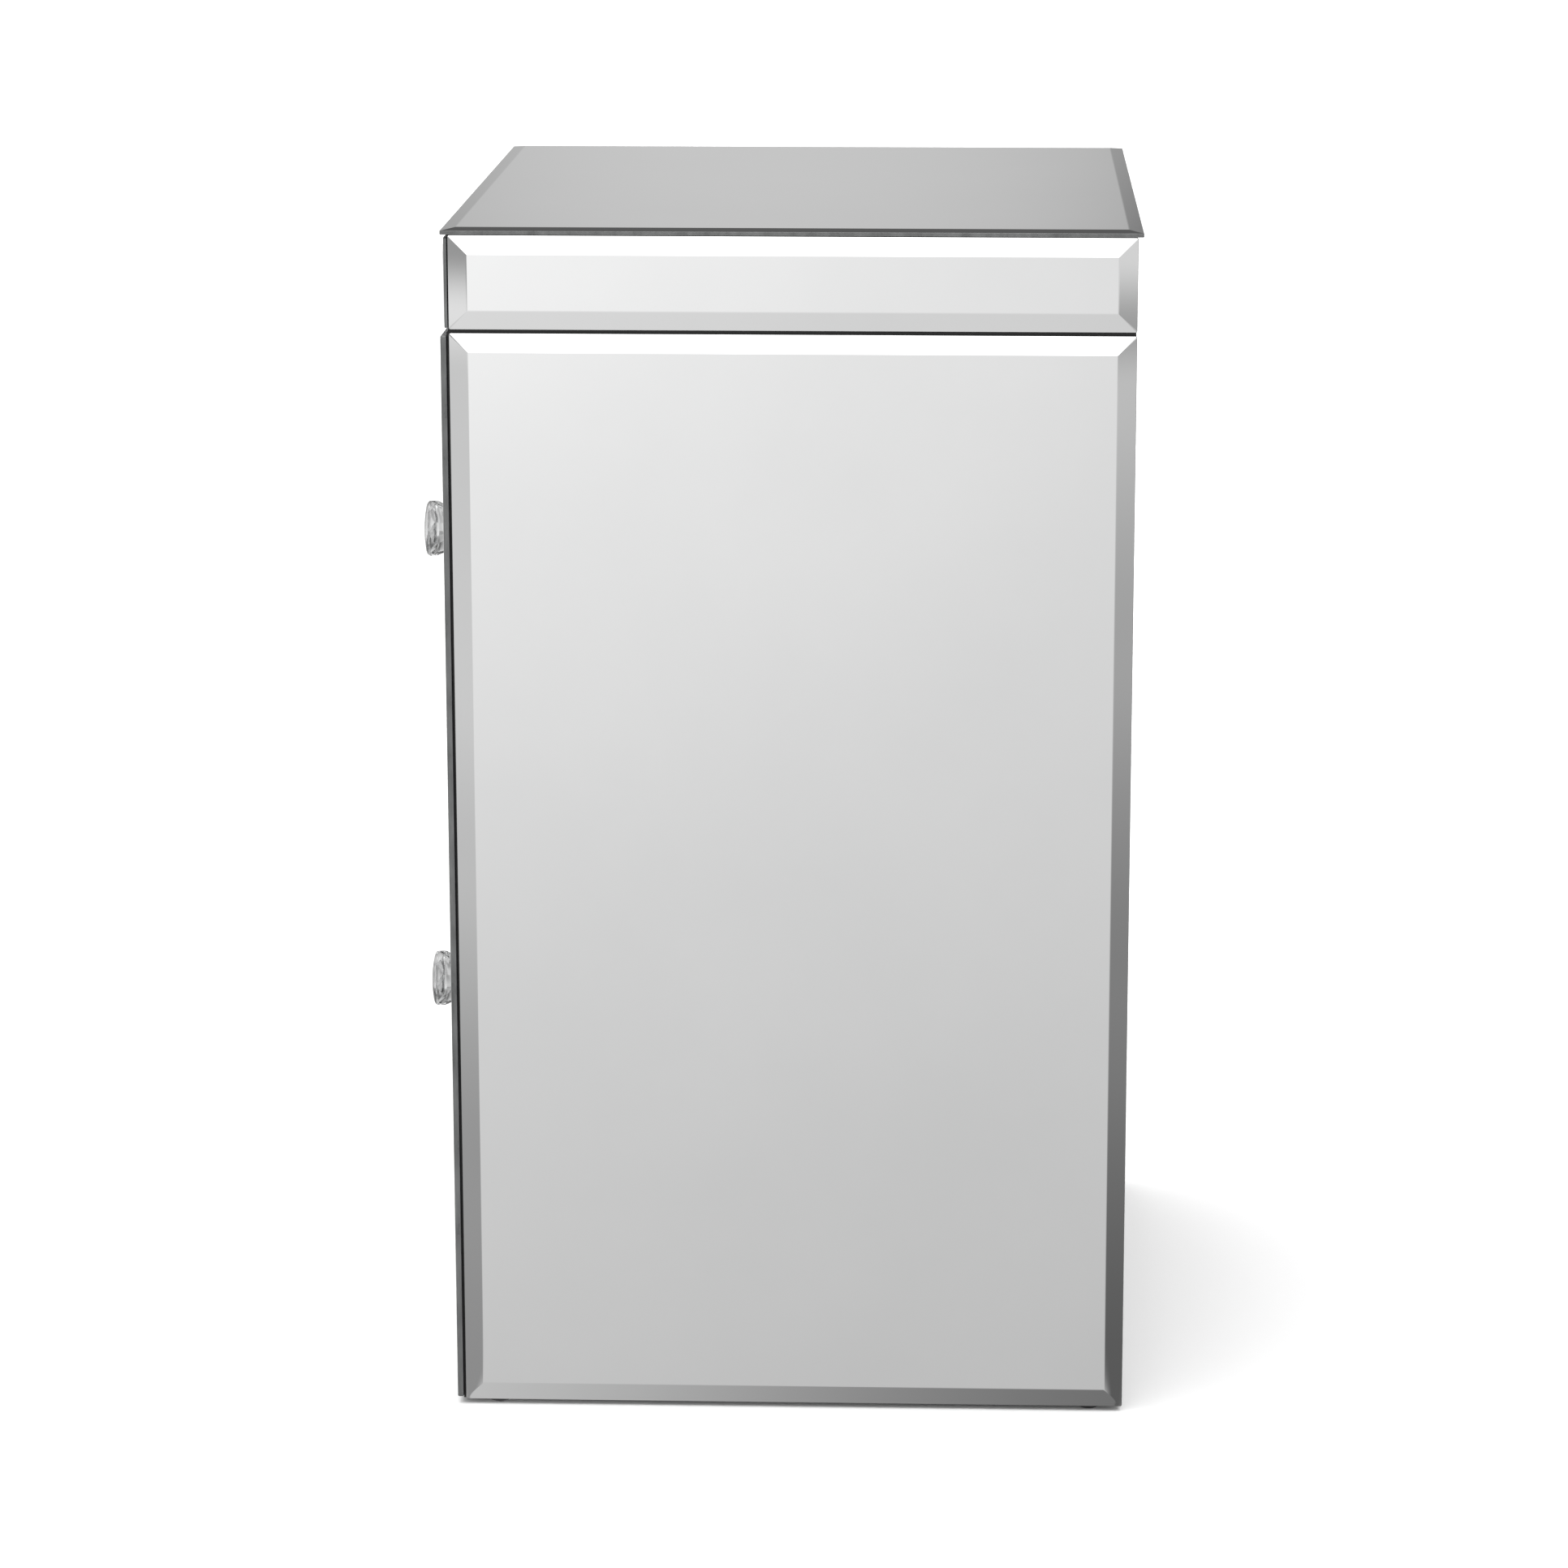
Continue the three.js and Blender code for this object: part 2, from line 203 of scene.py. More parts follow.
def backing_nodes(g):
    coat = g.noise(240, 3)
    return {
        "Base Color": g.tint(coat, (0.05, 0.05, 0.053), (0.085, 0.085, 0.09)),
        "Roughness": g.between(coat, 0.45, 0.6),
        "Normal": g.bump(coat, 0.00003),
    }


def lacquer_nodes(g):
    peel = g.noise(420, 2)
    drift = g.noise(7, 3)
    return {
        "Base Color": g.tint(drift, (0.006, 0.006, 0.0063), (0.011, 0.011, 0.0115)),
        "Roughness": g.between(drift, 0.34, 0.46),
        "Normal": g.bump(peel, 0.00002),
    }


def back_board_nodes(g):
    fibre = g.noise(260, 6, stretch=(1, 1, 0.35), roughness=0.7)
    drift = g.noise(9, 3)
    return {
        "Base Color": g.tint(fibre, (0.014, 0.014, 0.0145), (0.034, 0.033, 0.032)),
        "Roughness": g.between(drift, 0.5, 0.68),
        "Normal": g.bump(fibre, 0.00006),
    }


def box_board_nodes(g):
    grain = g.noise(30, 7, stretch=(1, 1, 14), roughness=0.65)
    pores = g.noise(300, 3, stretch=(1, 0.12, 1.4))
    return {
        "Base Color": g.tint(grain, (0.03, 0.03, 0.032), (0.062, 0.061, 0.063)),
        "Roughness": g.between(grain, 0.42, 0.58),
        "Normal": g.bump(pores, 0.00008),
    }


def lining_nodes(g):
    pile = g.noise(1500, 3, roughness=0.7)
    brushed = g.noise(16, 3, stretch=(1, 0.5, 1))
    return {
        "Base Color": g.tint(brushed, (0.05, 0.051, 0.056), (0.085, 0.087, 0.094)),
        "Roughness": g.between(pile, 0.85, 1.0),
        "Normal": g.bump(pile, 0.0003),
    }


def zinc_nodes(g):
    spangle = g.cells(300, stretch=(1, 0.6, 1))
    rolled = g.noise(500, 3, stretch=(1, 0.02, 1))
    return {
        "Base Color": g.tint(spangle, (0.54, 0.555, 0.57), (0.63, 0.645, 0.655), 0.1, 0.9),
        "Roughness": g.between(rolled, 0.26, 0.42),
        "Normal": g.bump(rolled, 0.00002),
    }


def chrome_nodes(g):
    polish = g.noise(350, 3, stretch=(1, 0.1, 1))
    return {
        "Base Color": g.tint(polish, (0.72, 0.73, 0.74), (0.8, 0.81, 0.82)),
        "Roughness": g.between(polish, 0.05, 0.12),
    }


def crystal_nodes(g):
    flow = g.noise(60, 2)
    return {
        "Base Color": g.tint(flow, (0.71, 0.715, 0.715), (0.77, 0.775, 0.775)),
        "Roughness": g.between(flow, 0.09, 0.13),
    }


def plastic_nodes(g):
    grain = g.noise(700, 3)
    return {
        "Base Color": g.tint(grain, (0.012, 0.012, 0.013), (0.022, 0.022, 0.023)),
        "Roughness": g.between(grain, 0.45, 0.62),
        "Normal": g.bump(grain, 0.00004),
    }


MIRROR = material("mirror_silver", mirror_nodes, Metallic=1.0)
GLASS_EDGE = material("ground_glass_edge", glass_edge_nodes, Coat_Weight=0.15, Coat_Roughness=0.25)
BACKING = material("mirror_backing_paint", backing_nodes)
LACQUER = material("black_lacquer", lacquer_nodes, Specular_IOR_Level=0.3)
BACK_BOARD = material("black_hardboard", back_board_nodes)
BOX_BOARD = material("charcoal_melamine", box_board_nodes)
LINING = material("flocked_lining", lining_nodes, Sheen_Weight=0.6, Sheen_Roughness=0.4)
ZINC = material("zinc_steel", zinc_nodes, Metallic=1.0)
CHROME = material("knob_chrome", chrome_nodes, Metallic=1.0)
CRYSTAL = material("crystal_glass", crystal_nodes, Transmission_Weight=1.0, IOR=1.52)
PLASTIC = material("black_nylon", plastic_nodes)


# ---------------------------------------------------------------- mesh helpers


def add_mesh(name, verts, faces, materials, face_materials=None):
    """A new object. face_materials gives each face's place in materials, where there is more than one."""
    mesh = bpy.data.meshes.new(name)
    mesh.from_pydata([tuple(v) for v in verts], [], faces)
    for item in materials:
        mesh.materials.append(item)
    if face_materials:
        mesh.polygons.foreach_set("material_index", face_materials)
    mesh.update()
    made = bpy.data.objects.new(name, mesh)
    bpy.context.scene.collection.objects.link(made)
    return made


def smooth_by_angle(obj, degrees):
    """Turns every face outwards and shades smooth across the edges that bend by less than the angle."""
    work = bmesh.new()
    work.from_mesh(obj.data)
    bmesh.ops.recalc_face_normals(work, faces=work.faces)
    limit = math.radians(degrees)
    for face in work.faces:
        face.smooth = True
    for edge in work.edges:
        edge.smooth = len(edge.link_faces) == 2 and edge.calc_face_angle() < limit
    work.to_mesh(obj.data)
    work.free()
    return obj


def face_outwards(obj):
    """Turns every face outwards and leaves the shading flat."""
    work = bmesh.new()
    work.from_mesh(obj.data)
    bmesh.ops.recalc_face_normals(work, faces=work.faces)
    work.to_mesh(obj.data)
    work.free()


def finished(obj, body, slot, *nodes):
    """Puts a new piece on its body and hides the CAD nodes that it stands for. The slot is not used."""
    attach(obj, body)
    if nodes:
        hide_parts(*nodes)


def turned(profile, segments, place):
    """Verts and faces of a closed turned form. The profile is a list of (radius, along) that starts and
    ends at radius 0, and place(a, b, along) gives the point at (a, b) across the axis."""
    verts, faces, rows = [], [], []
    for radius, along in profile:
        if radius == 0:
            rows.append([len(verts)])
            verts.append(place(0, 0, along))
            continue
        rows.append(list(range(len(verts), len(verts) + segments)))
        for i in range(segments):
            angle = 2 * math.pi * i / segments
            verts.append(place(radius * math.cos(angle), radius * math.sin(angle), along))
    for a, b in zip(rows, rows[1:]):
        for i in range(segments):
            j = (i + 1) % segments
            loop = [a[i % len(a)], a[j % len(a)], b[j % len(b)], b[i % len(b)]]
            unique = [v for k, v in enumerate(loop) if v != loop[k - 1]]
            if len(unique) > 2:
                faces.append(unique)
    return verts, faces


# ---------------------------------------------------------------- mirror panes

GLASS = 3.5 * MM
CREST = 0.45 * MM  # half width of the softened line where the bevel meets the flat
ARRIS = 0.22 * MM  # the hand-ground arris along every outer edge
CORNER = 1.2 * MM  # the nipped corners
CORNER_STEPS = 4
PENCIL = 1.1 * MM  # the rounded polished front edge of the narrow strips
PANE_MATERIALS = (MIRROR, GLASS_EDGE, BACKING)
SILVER, GROUND, PAINT = range(3)  # places in PANE_MATERIALS


def outline(low, high, inset):
    """Points round a rectangle with small rounded corners."""
    radius = max(CORNER - inset, 0.04 * MM)
    centres = [
        (high[0] - inset - radius, high[1] - inset - radius),
        (low[0] + inset + radius, high[1] - inset - radius),
        (low[0] + inset + radius, low[1] + inset + radius),
        (high[0] - inset - radius, low[1] + inset + radius),
    ]
    points = []
    for quarter, (a, b) in enumerate(centres):
        for i in range(CORNER_STEPS + 1):
            angle = (quarter + i / CORNER_STEPS) * math.pi / 2
            points.append((a + radius * math.cos(angle), b + radius * math.sin(angle)))
    return points


def pane(node, facing, bevel=None):
    """A mirror pane in the place of its CAD node. facing is the axis and sign of its front, and bevel is
    the width and drop of the ground border. A narrow strip has no bevel, only a rounded edge."""
    low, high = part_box(node)
    axis, sign = facing
    spans = [i for i in range(3) if i != axis]
    back = low[axis] if sign > 0 else high[axis]

    def point(a, b, out):
        place = [0.0, 0.0, 0.0]
        place[spans[0]], place[spans[1]], place[axis] = a, b, back + sign * out
        return place

    # Each ring is (inset, height above the back, material of the faces between it and the ring before).
    rings = [(ARRIS, 0.0, PAINT), (0.0, ARRIS, GROUND)]
    if bevel:
        width, drop = bevel
        edge = GLASS - drop
        slope = drop / width
        # The arris is cut in two steps, and the crest is rounded off in three.
        rings += [
            (0.0, edge - ARRIS * 1.2, GROUND),
            (ARRIS * 0.35, edge - ARRIS * 0.45, GROUND),
            (ARRIS, edge + slope * ARRIS, GROUND),
            (width - CREST, GLASS - slope * CREST, SILVER),
            (width - CREST * 0.33, GLASS - slope * CREST * 0.5, SILVER),
            (width + CREST * 0.33, GLASS - slope * CREST * 0.12, SILVER),
            (width + CREST, GLASS, SILVER),
        ]
    else:
        rings.append((0.0, GLASS - PENCIL, GROUND))
        for degrees in (18, 36, 54, 72, 90):
            t = math.radians(degrees)
            inset, out = PENCIL * (1 - math.cos(t)), GLASS - PENCIL * (1 - math.sin(t))
            rings.append((inset, out, SILVER if degrees > 54 else GROUND))
    plane_low = (low[spans[0]], low[spans[1]])
    plane_high = (high[spans[0]], high[spans[1]])
    count = 4 * (CORNER_STEPS + 1)
    verts, faces, kinds = [], [], []
    for inset, out, kind in rings:
        start = len(verts)
        verts += [point(a, b, out) for a, b in outline(plane_low, plane_high, inset)]
        if start:
            for i in range(count):
                j = (i + 1) % count
                faces.append((start - count + i, start - count + j, start + j, start + i))
                kinds.append(kind)
    faces.append(tuple(range(count)))
    kinds.append(PAINT)
    faces.append(tuple(range(len(verts) - count, len(verts))))
    kinds.append(SILVER)
    made = add_mesh(node + "_pane", verts, faces, PANE_MATERIALS, kinds)
    face_outwards(made)
    finished(made, frame["nodes"][node]["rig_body"], "mirror_glass", node)


BEVEL = (11 * MM, 1.75 * MM)
TOP_BEVEL = (8.5 * MM, 1.25 * MM)
FRONT = (1, -1)
TOP = (2, 1)
pane("top_mirror", TOP, TOP_BEVEL)
for hand, side in HANDS.items():
    for level in ("upper", "lower"):
        pane(f"{level}_side_mirror_{hand}", (0, side), BEVEL)
    pane(f"stile_mirror_{hand}", FRONT)
pane("apron_mirror", FRONT, BEVEL)
pane("plinth_mirror", FRONT, BEVEL)
pane("middle_rail_mirror", FRONT)
pane("upper_rail_mirror", FRONT)
for drawer in DRAWERS:
    pane(f"{drawer}_drawer_mirror", FRONT, BEVEL)


# ---------------------------------------------------------------- knobs

FACETS = 8
RIM = 15 * MM  # radius of the domed face, inside its rounded rim
DOME = 1.625 * MM  # rise of the domed face
ROUND = 2.5 * MM  # radius of the rounded rim


def crystal(drawer):
    """A round glass knob with a shallow domed face, cut behind the rim by two tiers of facets."""
    node = f"{drawer}_drawer_knob_crystal"
    low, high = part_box(node)
    z = (low.z + high.z) / 2
    tip, back = low.y, high.y
    sphere = (RIM**2 + DOME**2) / (2 * DOME)  # radius of the sphere that the dome is part of
    profile = [(0, 0)]
    dome_rings = 13
    for i in range(1, dome_rings):
        r = RIM * i / dome_rings
        profile.append((r, sphere - math.sqrt(sphere**2 - r**2)))
    rim_steps = 8
    for i in range(rim_steps + 1):
        t = math.pi / 2 * (1 - i / rim_steps)
        profile.append((RIM + ROUND * math.cos(t), DOME + ROUND * (1 - math.sin(t))))
    profile += [(RIM + ROUND, back - tip), (0, back - tip)]
    verts, faces = turned(profile, 96, lambda a, b, along: (a, tip + along, z + b))
    body = smooth_by_angle(add_mesh(node + "_cut", verts, faces, (CRYSTAL,)), 20)

    # The cutter's tiers: depth behind the tip, and distance of the facets from the axis. The first and
    # the last lie outside the knob.
    tiers = [
        (0, 19.5 * MM),
        (DOME + ROUND, RIM + ROUND),
        (14 * MM, 13.875 * MM),
        (24.5 * MM, 8 * MM),
        (26 * MM, 7.4 * MM),
    ]
    work = bmesh.new()
    for depth, flat in tiers:
        reach = flat / math.cos(math.pi / FACETS)
        for i in range(FACETS):
            angle = (i + 0.5) * 2 * math.pi / FACETS
            work.verts.new((reach * math.cos(angle), tip + depth, z + reach * math.sin(angle)))
    bmesh.ops.convex_hull(work, input=work.verts)
    bmesh.ops.dissolve_limit(work, angle_limit=0.001, verts=work.verts, edges=work.edges)
    cutter_mesh = bpy.data.meshes.new("facet_cutter")
    work.to_mesh(cutter_mesh)
    work.free()
    cutter = bpy.data.objects.new("facet_cutter", cutter_mesh)
    bpy.context.scene.collection.objects.link(cutter)
    cutting = body.modifiers.new("facets", "BOOLEAN")
    cutting.operation, cutting.solver, cutting.object = "INTERSECT", "EXACT", cutter
    cut = body.evaluated_get(bpy.context.evaluated_depsgraph_get())
    body.data = bpy.data.meshes.new_from_object(cut)
    body.modifiers.clear()
    bpy.data.objects.remove(cutter)
    finished(smooth_by_angle(body, 9), f"{drawer}_drawer", "crystal", node)


def knob_base(drawer):
    node = f"{drawer}_drawer_knob_base"
    low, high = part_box(node)
    z = (low.z + high.z) / 2
    # Radius, and distance forward from the pane, in millimetres.
    profile = [(0, 0), (9.6, 0), (10, 0.35), (10, 0.9), (9.85, 1.25), (9.4, 1.6), (8.3, 1.9), (7.2, 2.3)]
    profile += [(6.5, 3.0), (6.1, 4.0), (6.0, 5.2), (6.05, 6.6), (6.3, 8.0), (6.9, 9.3), (7.6, 10.3)]
    profile += [(7.95, 10.9), (8, 11.4), (7.85, 11.85), (7.5, 12), (0, 12)]
    verts, faces = turned(
        [(r * MM, d * MM) for r, d in profile],
        72,
        lambda a, b, along: (a, high.y - along, z + b),
    )
    made = smooth_by_angle(add_mesh(node + "_turned", verts, faces, (CHROME,)), 50)
    finished(made, f"{drawer}_drawer", "knob_metal", node)


def screw_head(place, radius, height, verts, faces):
    """Adds a pan-head screw, with a rounded side and a cross recess in its flat crown. place(a, b, out)
    gives the point at (a, b) across the head and at that height above the face it sits on."""
    crown = radius * 0.72
    long = crown * 0.78  # half the length of the recess
    arm = long * 0.22  # half the width of its arms
    depth = height * 0.6
    cross = [(arm, arm), (arm, long), (-arm, long), (-arm, arm), (-long, arm), (-long, -arm)]
    cross += [(-arm, -arm), (-arm, -long), (arm, -long), (arm, -arm), (long, -arm), (long, arm)]
    angles = [math.atan2(b, a) for a, b in cross]
    floor_scale = 0.7
    levels = [
        [(a * floor_scale, b * floor_scale, height - depth) for a, b in cross],
        [(a, b, height) for a, b in cross],
    ]
    for r, h in ((crown, height), (radius * 0.9, height * 0.86), (radius, height * 0.55), (radius, 0.0)):
        levels.append([(r * math.cos(t), r * math.sin(t), h) for t in angles])
    count = len(cross)
    start = len(verts)
    for level in levels:
        verts += [place(*point) for point in level]
    for base in range(start, len(verts) - count, count):
        for i in range(count):
            j = (i + 1) % count
            faces.append((base + i, base + j, base + count + j, base + count + i))
    faces.append(tuple(range(start, start + count)))
    faces.append(tuple(range(len(verts) - count, len(verts))))


def on_side_face(out_x, spot, a, b, out):
    """A screw's place function on a face that looks along x, towards the sign of out_x."""
    x, y, z = spot
    return (x + out_x * out, y + a, z + b)


def on_back_face(spot, a, b, out):
    """The same on a face that looks towards +Y."""
    x, y, z = spot
    return (x + a, y + out, z + b)


def screws(name, spots, place, size, item, body):
    """Pan-head screws as one piece, each at its spot. size is the radius and height of the heads."""
    verts, faces = [], []
    for spot in spots:
        screw_head(partial(place, spot), *size, verts, faces)
    finished(smooth_by_angle(add_mesh(name, verts, faces, (item,)), 35), body, "zinc_steel")


def knob_screw(drawer):
    node = f"{drawer}_drawer_knob_screw"
    low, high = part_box(node)
    z = (low.z + high.z) / 2
    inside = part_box(f"{drawer}_drawer_inner_front")[1].y
    head, shank, tip = 4.25 * MM, 1.8 * MM, 0.8 * MM
    verts, faces = [], []
    screw_head(partial(on_back_face, (0, inside, z)), head, high.y - inside, verts, faces)
    length = inside - low.y
    shank_verts, shank_faces = turned(
        [(0, 0), (shank, 0), (shank, length - 1 * MM), (tip, length), (0, length)],
        16,
        lambda a, b, along: (a, inside - along, z + b),
    )
    offset = len(verts)
    verts += shank_verts
    faces += [tuple(offset + i for i in face) for face in shank_faces]
    made = smooth_by_angle(add_mesh(node + "_pan_head", verts, faces, (ZINC,)), 35)
    finished(made, f"{drawer}_drawer", "zinc_steel", node)


for drawer in DRAWERS:
    crystal(drawer)
    knob_base(drawer)
    knob_screw(drawer)


# ---------------------------------------------------------------- glides


def glide(node):
    low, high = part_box(node)
    x, y = (low.x + high.x) / 2, (low.y + high.y) / 2
    # Radius, and height above the floor, in millimetres.
    profile = [(0, 0), (4.9, 0), (5.4, 0.12), (5.9, 0.45), (6.6, 0.85)]
    profile += [(6.95, 1.2), (7, 1.6), (7, 3), (0, 3)]
    verts, faces = turned([(r * MM, h * MM) for r, h in profile], 48, lambda a, b, up: (x + a, y + b, up))
    made = smooth_by_angle(add_mesh(node + "_disc", verts, faces, (PLASTIC,)), 40)
    finished(made, "cabinet", "glide_plastic", node)


for end in ("front", "back"):
    for hand in HANDS:
        glide(f"glide_{end}_{hand}")


# ---------------------------------------------------------------- CAD nodes kept, with softened edges


def soften(node, item, width):
    """Gives a CAD node its material and rounds its sharp edges."""
    obj = frame["nodes"][node]
    obj.data.materials.clear()
    obj.data.materials.append(item)
    weld = obj.modifiers.new("weld", "WELD")
    weld.merge_threshold = 0.005 * MM
    edges = obj.modifiers.new("edges", "BEVEL")
    edges.width = width
    edges.segments = 2
    edges.limit_method = "ANGLE"
    edges.angle_limit = math.radians(40)
    edges.use_clamp_overlap = True
    for polygon in obj.data.polygons:
        polygon.use_smooth = False


for hand in HANDS:
    soften(f"side_panel_{hand}", LACQUER, 0.4 * MM)
for node in ("top_panel", "bottom_panel", "plinth_rail", "middle_rail", "upper_rail", "apron_rail"):
    soften(node, LACQUER, 0.4 * MM)
soften("back_panel", BACK_BOARD, 0.5 * MM)
for drawer in DRAWERS:
    name = f"{drawer}_drawer"
    soften(f"{name}_front", LACQUER, 0.5 * MM)
    for part in ("side_right", "side_left", "inner_front", "back"):
        soften(f"{name}_{part}", BOX_BOARD, 0.6 * MM)
    soften(f"{name}_bottom", LINING, 0.4 * MM)
    for hand in HANDS:
        for member in ("outer", "middle", "inner"):
            soften(f"{name}_runner_{member}_{hand}", ZINC, 0.35 * MM)


# ---------------------------------------------------------------- runner balls, cages and screws

BALLS = 10  # in each race
SHEET = 1.25 * MM  # of the runner members
RUNNER_GAP = 12.75 * MM  # between the side panel and the drawer box
CAGE_HALF = 2.4 * MM  # half the width of a ball cage
CAGE_PAST = 5 * MM  # how far a cage goes past its last ball
CAGE_SHEET = 0.6 * MM
SCREW_BACK = (32 * MM, 160 * MM, 288 * MM)  # runner screws, back from the runner's front end
LEVER_BACK = 84 * MM  # the release lever, back from the inner member's front end


def ball(verts, faces, centre, radius):
    work = bmesh.new()
    bmesh.ops.create_icosphere(work, subdivisions=2, radius=radius)
    offset = len(verts)
    verts += [tuple(Vector(centre) + v.co) for v in work.verts]
    faces += [tuple(offset + v.index for v in face.verts) for face in work.faces]
    work.free()


def strip(verts, faces, low, high):
    """A thin plate with chamfered ends, used for the ball cages."""
    nose = 3 * MM  # length of the chamfered ends
    (x0, y0, z0), (x1, y1, z1) = low, high
    mid = (x0 + x1) / 2
    half = (x1 - x0) / 4
    plan = [(x0, y0 + nose), (mid - half, y0), (mid + half, y0), (x1, y0 + nose)]
    plan += [(x1, y1 - nose), (mid + half, y1), (mid - half, y1), (x0, y1 - nose)]
    start = len(verts)
    for z in (z0, z1):
        verts += [(x, y, z) for x, y in plan]
    count = len(plan)
    faces.append(tuple(start + i for i in reversed(range(count))))
    faces.append(tuple(start + count + i for i in range(count)))
    for i in range(count):
        j = (i + 1) % count
        faces.append((start + i, start + j, start + count + j, start + count + i))


def runner_place(drawer, hand, side):
    """The box of a runner's outer member, its middle height and the face of the side panel behind it."""
    low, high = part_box(f"{drawer}_drawer_runner_outer_{hand}")
    return low, high, (low.z + high.z) / 2, high.x if side > 0 else low.x


def ball_races(drawer, hand, side):
    """The balls of one runner and the cages that space them. They travel with the middle member."""
    low, high, z, wall = runner_place(drawer, hand, side)
    races = [
        # distance from the side panel, height from the middle, ball radius, first and last ball
        (6.4 * MM, 19.5 * MM, 1.7 * MM, high.y - 130 * MM, high.y - 22 * MM),
        (7.6 * MM, 14.5 * MM, 1.95 * MM, low.y + 26 * MM, low.y + 134 * MM),
    ]
    balls, ball_faces = [], []
    plates, plate_faces = [], []
    for depth, height, radius, start, end in races:
        x = wall - side * depth
        for level in (1, -1):
            race_z = z + level * height
            for i in range(BALLS):
                ball(balls, ball_faces, (x, start + (end - start) * i / (BALLS - 1), race_z), radius)
            cage_low = (x - CAGE_HALF, start - CAGE_PAST, race_z - CAGE_SHEET / 2)
            cage_high = (x + CAGE_HALF, end + CAGE_PAST, race_z + CAGE_SHEET / 2)
            strip(plates, plate_faces, cage_low, cage_high)
    body = f"{drawer}_runner_middles"
    made = add_mesh(f"{drawer}_runner_balls_{hand}", balls, ball_faces, (CHROME,))
    finished(smooth_by_angle(made, 60), body, "zinc_steel")
    cages = add_mesh(f"{drawer}_runner_cages_{hand}", plates, plate_faces, (ZINC,))
    finished(smooth_by_angle(cages, 30), body, "zinc_steel")


def runner_screws(drawer, hand, side):
    """Pan-head screws in the outer member, into the side panel, and in the inner member, into the box."""
    low, _, z, wall = runner_place(drawer, hand, side)
    box_face = wall - side * RUNNER_GAP
    for member, face, out_x, body in (
        ("outer", wall - side * SHEET, -side, "cabinet"),
        ("inner", box_face + side * SHEET, side, f"{drawer}_drawer"),
    ):
        spots = [(face, low.y + back, z) for back in SCREW_BACK]
        name = f"{drawer}_runner_{member}_screws_{hand}"
        screws(name, spots, partial(on_side_face, out_x), (3.3 * MM, 1.05 * MM), CHROME, body)


def release_lever(drawer, hand, side):
    """The black lever in the inner member that frees the drawer from its runner."""
    low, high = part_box(f"{drawer}_drawer_runner_inner_{hand}")
    z = (low.z + high.z) / 2
    face = (low.x if side > 0 else high.x) + side * (SHEET + 0.05 * MM)
    start = low.y + LEVER_BACK
    # Stations along the lever, in millimetres: distance from its pivot end, height, half width and
    # offset from the sheet.
    stations = [(0, 0, 2.2, 0), (3, 0, 3.6, 0), (9, 0, 3.8, 0), (16, 0.5, 2.4, 0), (30, 2.2, 1.9, 0.4)]
    stations += [(42, 4.6, 1.8, 1.2), (50, 6.6, 2.4, 2.2), (56, 7.4, 2.9, 3.0), (60, 7.6, 2.6, 3.4)]
    pivot_drop = 3
    thickness = 1.4
    verts, faces = [], []
    for along, up, half, off in stations:
        top_half = half * 0.8
        for level, out in ((-half, 0), (half, 0), (top_half, thickness), (-top_half, thickness)):
            height = z + (up + level - pivot_drop) * MM
            verts.append((face + side * (off + out) * MM, start + along * MM, height))
    for i in range(len(stations) - 1):
        for k in range(4):
            j = (k + 1) % 4
            faces.append((4 * i + k, 4 * i + j, 4 * i + 4 + j, 4 * i + 4 + k))
    last = 4 * (len(stations) - 1)
    faces += [(0, 1, 2, 3), (last, last + 1, last + 2, last + 3)]
    made = add_mesh(f"{drawer}_runner_lever_{hand}", verts, faces, (PLASTIC,))
    rounding = made.modifiers.new("rounding", "BEVEL")
    rounding.width = 0.3 * MM
    rounding.segments = 2
    rounding.angle_limit = math.radians(40)
    finished(smooth_by_angle(made, 40), f"{drawer}_drawer", "glide_plastic")


for drawer in DRAWERS:
    for hand, side in HANDS.items():
        ball_races(drawer, hand, side)
        runner_screws(drawer, hand, side)
        release_lever(drawer, hand, side)


# ---------------------------------------------------------------- joinery screws


def front_screws(drawer):
    """Four screws that hold the mirrored front to the drawer box, seen from inside the drawer."""
    low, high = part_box(f"{drawer}_drawer_inner_front")
    half_apart = 140 * MM
    heights = (62 * MM, 186 * MM)
    spots = [(x, high.y, low.z + up) for x in (-half_apart, half_apart) for up in heights]
    name = f"{drawer}_front_screws"
    screws(name, spots, on_back_face, (4 * MM, 1.6 * MM), ZINC, f"{drawer}_drawer")


def back_screws():
    """Small screws round the edge of the back panel, into the sides, the top and the bottom panel."""
    low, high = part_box("back_panel")
    bottom_low, bottom_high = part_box("bottom_panel")
    inset = 4.5 * MM
    corner = 30 * MM
    rows = 6
    spots = []
    for i in range(rows):
        z = low.z + corner + (high.z - low.z - 2 * corner) * i / (rows - 1)
        spots += [(low.x + inset, high.y, z), (high.x - inset, high.y, z)]
    for x in (-120 * MM, 0, 120 * MM):
        for z in (high.z - inset, (bottom_low.z + bottom_high.z) / 2):
            spots.append((x, high.y, z))
    screws("back_screws", spots, on_back_face, (3 * MM, 0.9 * MM), ZINC, "cabinet")


for drawer in DRAWERS:
    front_screws(drawer)
back_screws()


# ---------------------------------------------------------------- stage and light

CARD_HEIGHT = 0.2 * MM  # of the painted reflection card above the floor
BODY_Y = 0.018  # middle of the cabinet's body, which the knobs aren't part of
BODY_HALF_Y = 0.2
BEVEL_MARGIN = 6 * MM  # how far the corner zones reach in behind the panes' edges
# The card is darker near the cabinet's foot and paler far out: painted shade of the floor round the
# cabinet.
FOOT_LEVEL = 0.68  # the card's brightness at the cabinet's foot
FAR_LEVEL = 1.094  # and far out
FALLOFF = 2.6  # the distance over which it gets paler, in metres
SPAN = 8  # the stretch of y that the card's levels along the side cover, in metres
CORNER_REACH = 6  # length of the curves for the corner zones, in metres


